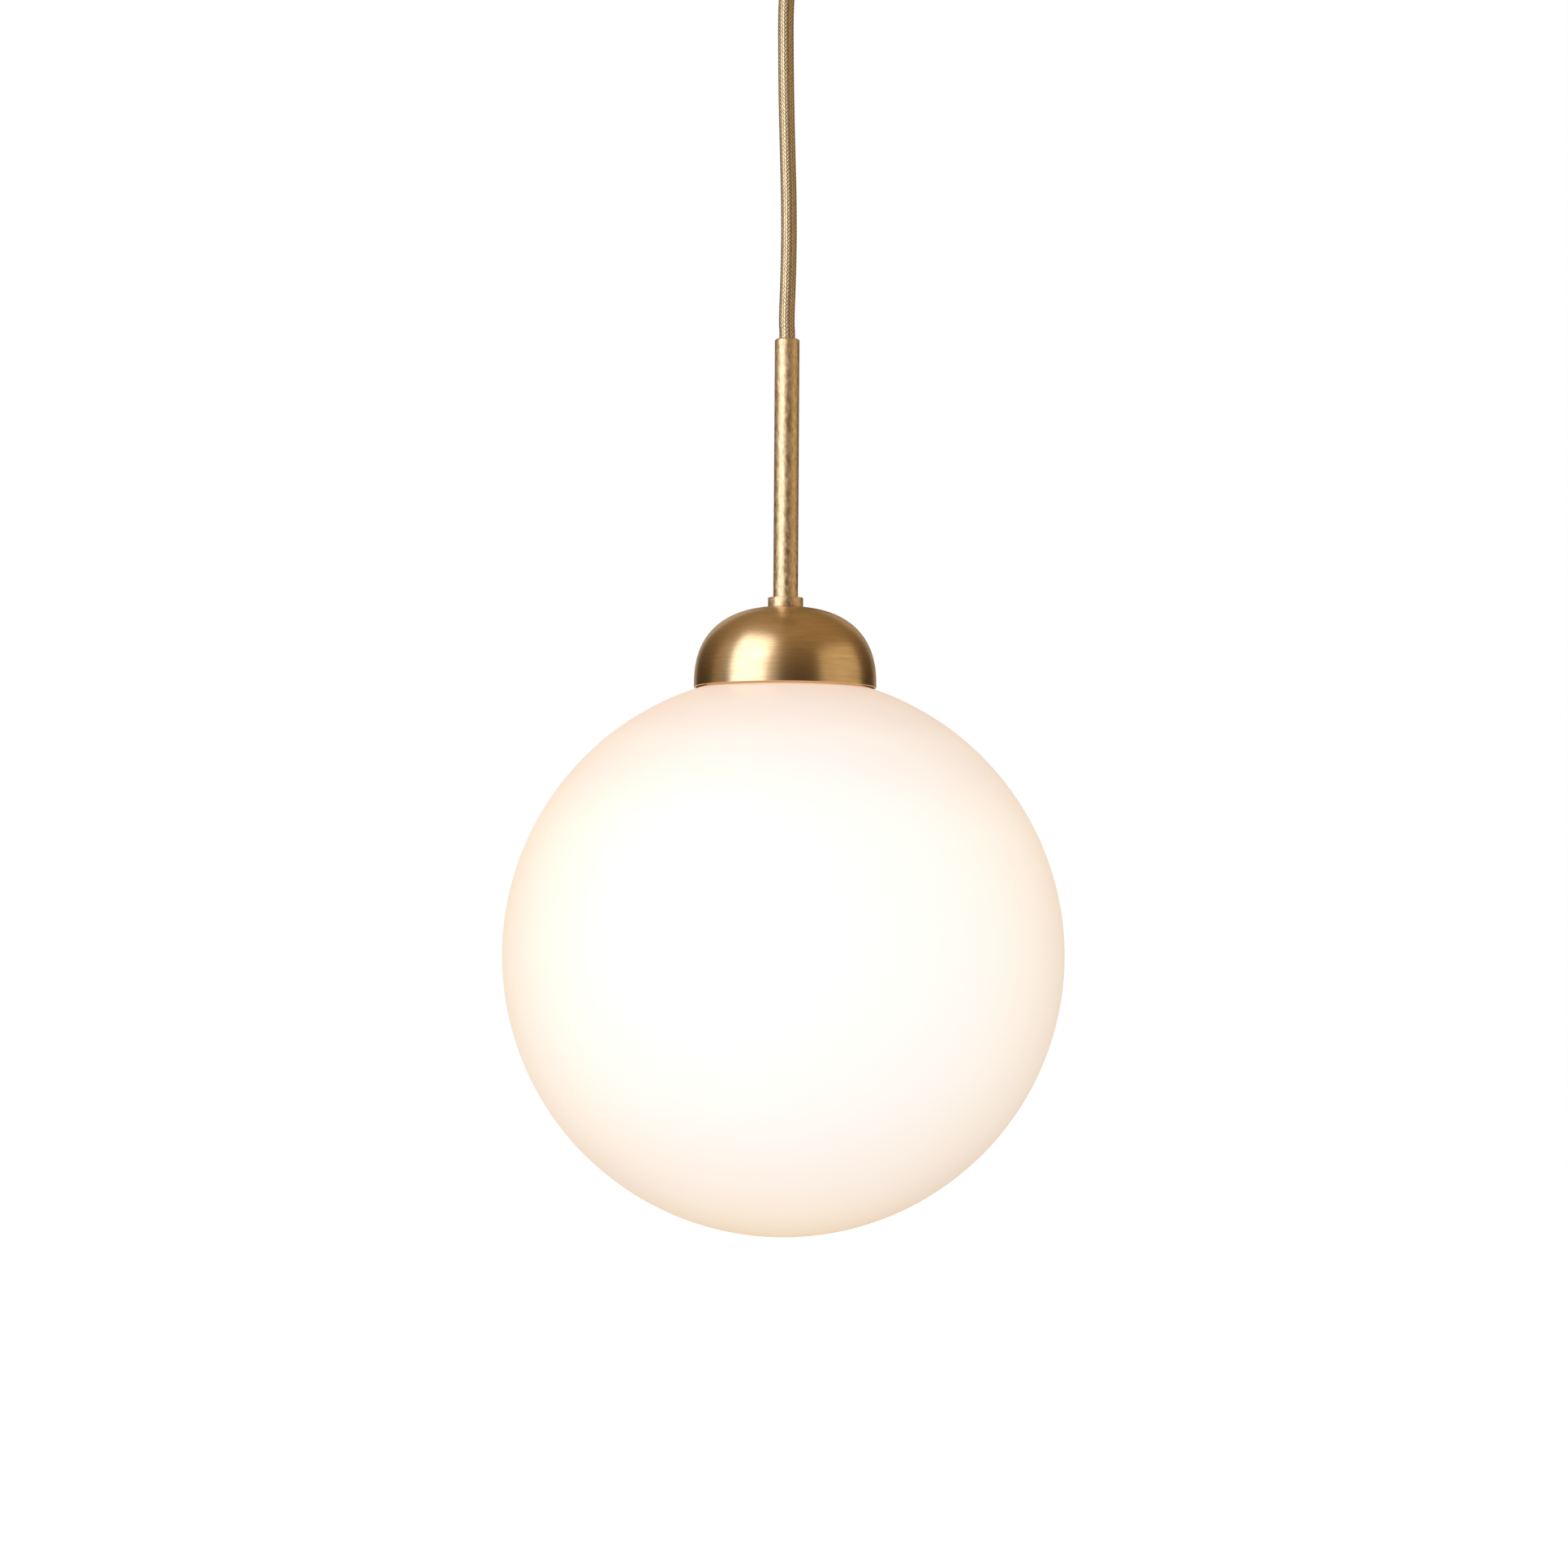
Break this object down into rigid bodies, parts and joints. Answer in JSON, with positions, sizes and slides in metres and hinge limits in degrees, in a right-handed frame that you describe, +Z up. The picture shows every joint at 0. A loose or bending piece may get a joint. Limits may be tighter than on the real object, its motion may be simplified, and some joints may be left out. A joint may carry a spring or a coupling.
{
  "type": "pendant ceiling light",
  "caption": "Pendant ceiling light: matte opal glass globe screwed into a domed brushed-brass cap, hung on a slim brass stem and a braided textile cord from a brass canopy.",
  "frame": {"origin": "middle of the ceiling bracket's flat top face, against the ceiling", "axes": "+Z up to the ceiling, the light hangs down -Z; +X along the bracket, -Y is the side seen in the picture"},
  "size_m": [0.2248, 0.2248, 0.5425],
  "materials": {
    "brushed_brass": "brushed satin, lines round the axis, clear lacquer",
    "satin_brass": "satin, drawn tube grain along the length",
    "zinc_steel": "zinc plated, satin",
    "nickel": "nickel plated, semi-bright",
    "opal_glass": "opal white, acid-etched matte, lit from inside",
    "bulb_diffuser": "frosted white diffuser, lit",
    "textile": "braided textile, gold beige",
    "white_nylon": "moulded nylon, satin",
    "black_plastic": "moulded thermoset, satin",
    "ceramic": "unglazed steatite",
    "silicone": "matte translucent silicone",
    "brown_insulation": "extruded insulation",
    "blue_insulation": "extruded insulation",
    "green_yellow_insulation": "extruded insulation, green with a yellow stripe",
    "circuit_board": "white solder mask"
  },
  "bodies": {
    "ceiling": {"ceiling_bracket": "zinc_steel", "canopy": "brushed_brass", "canopy_screw_left": "brushed_brass", "canopy_screw_right": "brushed_brass", "cord_grip": "satin_brass", "cord_grip_nut": "zinc_steel", "cord_grip_screw": "white_nylon", "terminal_block": "white_nylon", "block_screw_live": "nickel", "block_screw_earth": "nickel", "block_screw_neutral": "nickel", "earth_tag": "nickel", "earth_screw": "nickel", "earth_link": "green_yellow_insulation", "cord_tail": "textile", "ceiling_core_live": "brown_insulation", "ceiling_core_earth": "green_yellow_insulation", "ceiling_core_neutral": "blue_insulation"},
    "swivel": {"cord_exit_bush": "satin_brass"},
    "pendant": {"cord": "textile", "stem": "satin_brass", "stem_bush": "white_nylon", "collar": "satin_brass", "cap": "brushed_brass", "glass_carrier": "zinc_steel", "lock_washer": "zinc_steel", "lock_nut": "zinc_steel", "holder_cap": "black_plastic", "holder_lock_screw": "zinc_steel", "holder_body": "black_plastic", "holder_insert": "ceramic", "holder_screw_live": "nickel", "holder_screw_earth": "nickel", "holder_screw_neutral": "nickel", "holder_sleeve": "nickel", "centre_contact": "nickel", "side_contact": "nickel", "lamp_core_live": "brown_insulation", "lamp_core_earth": "green_yellow_insulation", "lamp_core_neutral": "blue_insulation"},
    "globe_seal": {"globe_gasket": "silicone"},
    "globe_glass": {"globe": "opal_glass"},
    "bulb_tip": {"bulb_tip_contact": "nickel"},
    "bulb": {"bulb_insulator": "black_plastic", "bulb_screw_shell": "nickel", "bulb_housing": "white_nylon", "bulb_diffuser": "bulb_diffuser", "bulb_light_board": "circuit_board", "bulb_driver_board": "circuit_board"}
  },
  "joints": [
    {"name": "swing_turn", "type": "hinge", "parent": "ceiling", "child": "swivel", "pos_m": [0, 0, -0.0313], "axis": [0, 0, 1], "range_deg": [-180, 180]},
    {"name": "swing_tilt", "type": "hinge", "parent": "swivel", "child": "pendant", "pos_m": [0, 0, -0.0313], "axis": [1, 0, 0], "range_deg": [-25, 25]},
    {"name": "globe_drop", "type": "slide", "parent": "pendant", "child": "globe_seal", "axis": [0, 0, -1], "range_m": [0, 0.005]},
    {"name": "globe_turn", "type": "hinge", "parent": "globe_seal", "child": "globe_glass", "pos_m": [0, 0, -0.43], "axis": [0, 0, -1], "range_deg": [0, 361]},
    {"name": "bulb_drop", "type": "slide", "parent": "pendant", "child": "bulb_tip", "axis": [0, 0, -1], "range_m": [0, 0.01452]},
    {"name": "bulb_turn", "type": "hinge", "parent": "bulb_tip", "child": "bulb", "pos_m": [0, 0, -0.3288], "axis": [0, 0, -1], "range_deg": [0, 1442]}
  ],
  "couplings": [
    {"joint": "globe_turn", "follows": "globe_drop", "rad_per_m": 1256.6},
    {"joint": "bulb_turn", "follows": "bulb_drop", "rad_per_m": 1730.9}
  ]
}
